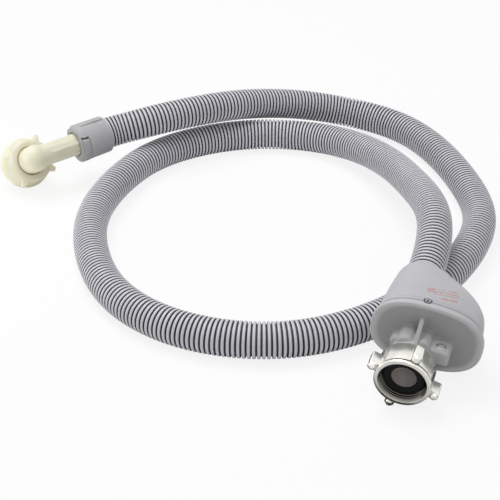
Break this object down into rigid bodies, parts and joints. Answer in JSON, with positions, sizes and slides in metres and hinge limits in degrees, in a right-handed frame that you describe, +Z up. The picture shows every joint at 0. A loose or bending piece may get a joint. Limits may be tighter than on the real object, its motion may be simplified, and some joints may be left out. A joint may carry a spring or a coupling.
{
  "type": "washing machine inlet hose",
  "caption": "Double-walled safety inlet hose laid in a loop, with a leak-stop valve and union nut at the tap end and an elbow with a nut at the machine end.",
  "frame": {"origin": "on the floor, under the middle of the two fitted ends", "axes": "+Z up from the floor the hose lies on; -Y towards the tap end's open nut; the machine end lies towards -X and +Y"},
  "size_m": [0.3396, 0.3794, 0.0549],
  "materials": {
    "grey_hose_plastic": "ribbed polypropylene, satin",
    "reinforced_rubber_hose": "braided pressure hose, matte",
    "grey_moulded_plastic": "fine-grained moulding",
    "zinc_plated_metal": "nickel-plated, lightly tumbled",
    "white_acetal": "turned acetal",
    "black_rubber": "moulded rubber",
    "spring_steel": "drawn wire and pressed sheet",
    "swelling_felt": "pressed fibre",
    "strainer_mesh": "fine woven mesh",
    "crimped_brass": "crimped",
    "cream_nylon": "natural nylon"
  },
  "bodies": {
    "hose_assembly": {"corrugated_hose": "grey_hose_plastic", "inner_hose": "reinforced_rubber_hose", "housing_shell": "grey_moulded_plastic", "front_cover": "grey_moulded_plastic", "cover_screw": "zinc_plated_metal", "valve_body": "white_acetal", "stem_seal": "black_rubber", "spring_retainer": "spring_steel", "piston_spring": "spring_steel", "pin_seal": "black_rubber", "swelling_ring": "swelling_felt", "tap_strainer": "strainer_mesh", "tap_washer": "black_rubber", "tap_ferrule": "crimped_brass", "elbow_ferrule": "crimped_brass", "elbow": "cream_nylon", "elbow_washer": "black_rubber", "elbow_sleeve": "grey_moulded_plastic", "retaining_clip": "grey_moulded_plastic"},
    "tap_nut": {"tap_nut": "zinc_plated_metal"},
    "elbow_nut": {"elbow_nut": "cream_nylon"},
    "release_pin": {"release_pin": "white_acetal"},
    "shutoff_piston": {"shutoff_piston": "white_acetal", "piston_seal": "black_rubber"}
  },
  "joints": [
    {"name": "tap_nut_spin", "type": "hinge", "parent": "hose_assembly", "child": "tap_nut", "pos_m": [0.10902, -0.13274, 0.02218], "axis": [-0.3011, -0.9434, -0.1392], "continuous": true},
    {"name": "elbow_nut_spin", "type": "hinge", "parent": "hose_assembly", "child": "elbow_nut", "pos_m": [-0.13825, 0.12788, 0.01471], "axis": [-0.4604, 0.7185, -0.5213], "continuous": true},
    {"name": "release_pin_slide", "type": "slide", "parent": "hose_assembly", "child": "release_pin", "axis": [0.9486, -0.2814, -0.1447], "range_m": [0, 0.003]},
    {"name": "shutoff_piston_slide", "type": "slide", "parent": "hose_assembly", "child": "shutoff_piston", "axis": [0.3011, 0.9434, 0.1392], "range_m": [0, 0.003]}
  ],
  "couplings": [
    {"joint": "shutoff_piston_slide", "follows": "release_pin_slide", "ratio": 1}
  ]
}
